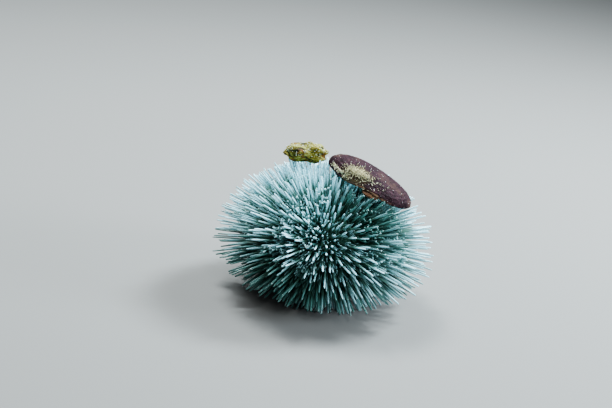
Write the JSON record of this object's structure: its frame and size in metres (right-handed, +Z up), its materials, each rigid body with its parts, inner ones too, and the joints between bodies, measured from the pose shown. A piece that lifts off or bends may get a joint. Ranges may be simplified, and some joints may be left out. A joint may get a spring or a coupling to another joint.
{
  "type": "west indian sea egg sea urchin model",
  "caption": "Round white-spined sea urchin resting on its lower spines, with a brown shell and a scrap of yellow rubble worn on its spine tips.",
  "frame": {"origin": "centre of the model's box at the floor it rests on, close under the mouth", "axes": "+Z up from the mouth to the apical disc, the side the picture shows towards -Y, the worn shell on the +X side"},
  "size_m": [0.1334, 0.135, 0.0883],
  "materials": {
    "pale_spines": "satin white-cyan calcite spines over a dark olive test",
    "tube_foot_bands": "satin spines among translucent pale teal tube feet",
    "disc_plates": "matt olive plates",
    "mouth_skin": "moist leathery skin",
    "tooth_white": "polished",
    "shell_brown": "finely pitted, purple-brown, partly overgrown",
    "rubble_yellow": "rough, overgrown in yellow and orange"
  },
  "bodies": {
    "root": {"ambulacrum_1": "tube_foot_bands", "interambulacrum_1": "pale_spines", "ambulacrum_2": "tube_foot_bands", "interambulacrum_2": "pale_spines", "ambulacrum_3": "tube_foot_bands", "interambulacrum_3": "pale_spines", "ambulacrum_4": "tube_foot_bands", "interambulacrum_4": "pale_spines", "ambulacrum_5": "tube_foot_bands", "interambulacrum_5": "pale_spines", "apical_disc": "disc_plates", "periproct": "disc_plates", "peristome": "mouth_skin", "tooth_1": "tooth_white", "tooth_2": "tooth_white", "tooth_3": "tooth_white", "tooth_4": "tooth_white", "tooth_5": "tooth_white", "cover_shell": "shell_brown", "cover_rubble": "rubble_yellow"}
  },
  "joints": []
}
